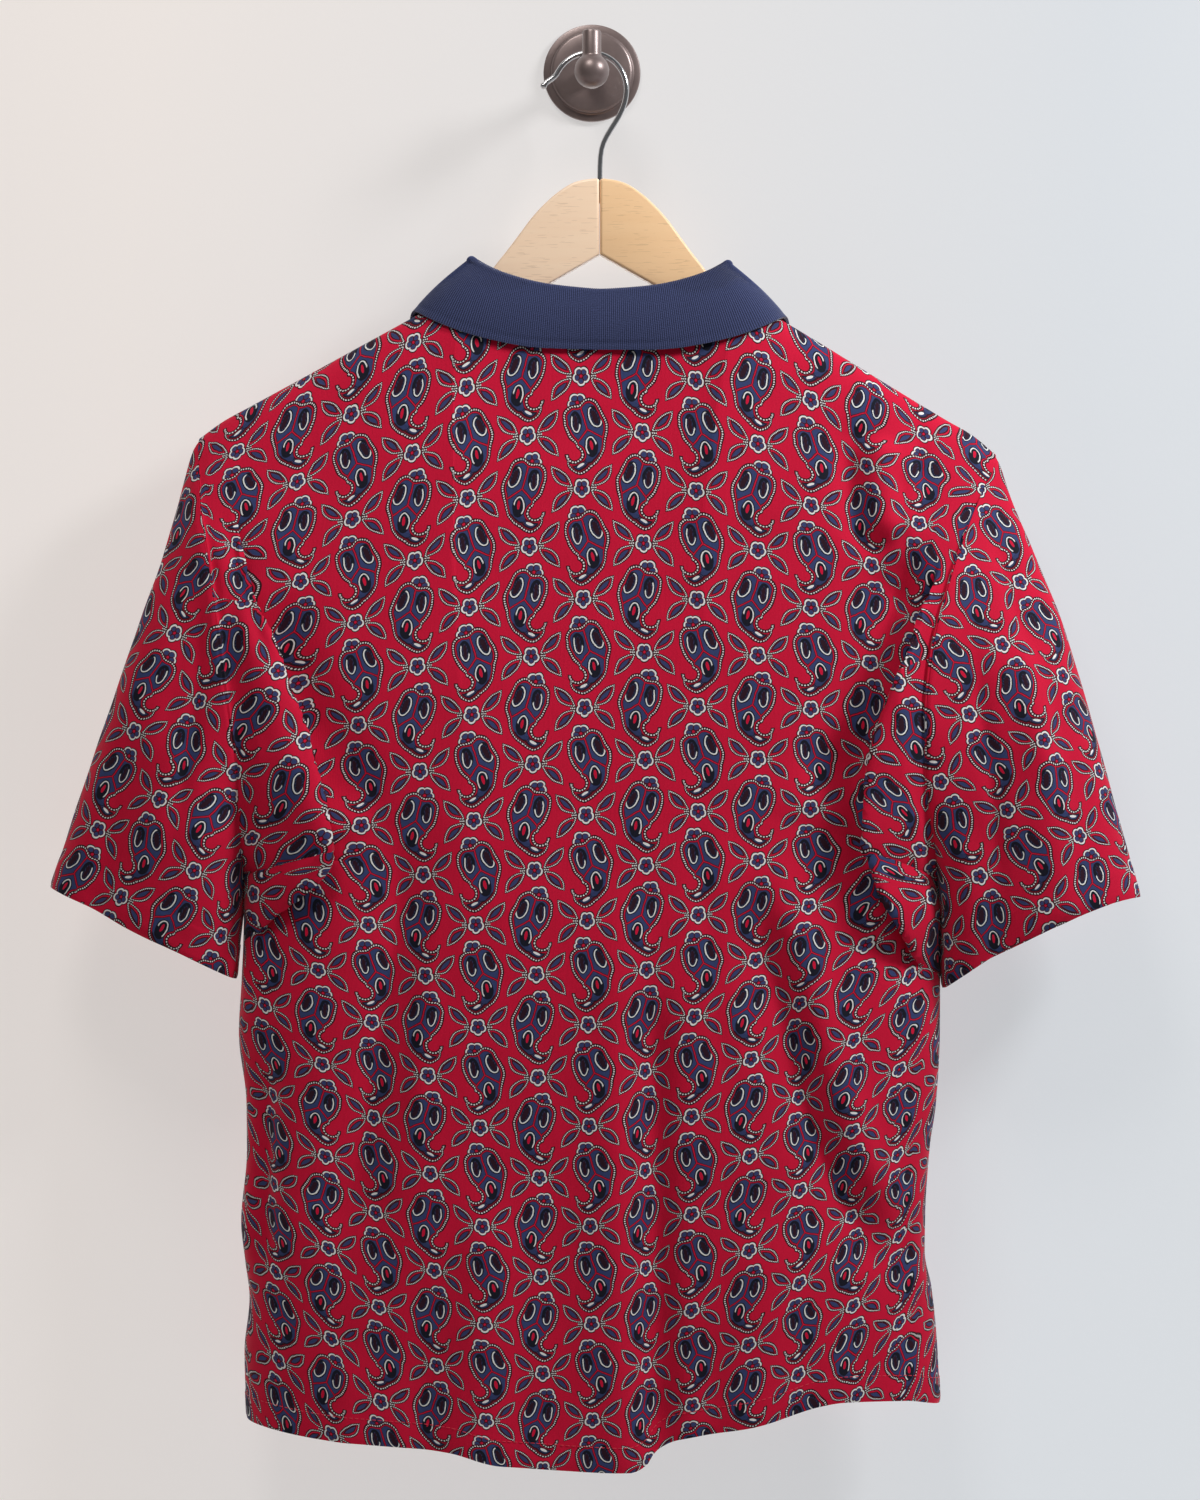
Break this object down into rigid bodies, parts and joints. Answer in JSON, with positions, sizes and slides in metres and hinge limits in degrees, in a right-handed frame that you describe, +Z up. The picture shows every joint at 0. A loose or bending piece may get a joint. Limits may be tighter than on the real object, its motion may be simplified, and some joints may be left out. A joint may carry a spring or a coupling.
{
  "type": "polo shirt on a hanger and wall hook",
  "caption": "Short-sleeved printed polo shirt with a rib collar, hung on a wooden hanger from a round wall hook.",
  "frame": {"origin": "centre of the wall hook plate's back face, on the wall", "axes": "+Z up, +Y into the wall, +X to the right for someone facing the wall; the shirt's back faces -Y and its front faces the wall"},
  "size_m": [0.6859, 0.1097, 0.9122],
  "materials": {
    "printed_jersey": "soft cotton jersey with a printed pattern",
    "navy_rib": "flat rib knit",
    "button": "polished",
    "pale_wood": "clear satin lacquer",
    "chrome_wire": "bright plated",
    "dark_bronze": "semi-gloss dark coating"
  },
  "bodies": {
    "root": {"shirt_back": "printed_jersey", "shirt_front": "printed_jersey", "sleeve_left": "printed_jersey", "sleeve_right": "printed_jersey", "collar": "navy_rib", "placket": "printed_jersey", "button_1": "button", "button_2": "button", "button_3": "button", "hanger_left": "pale_wood", "hanger_right": "pale_wood", "hanger_hook": "chrome_wire", "wall_plate": "dark_bronze", "wall_arm": "dark_bronze", "wall_knob": "dark_bronze"}
  },
  "joints": []
}
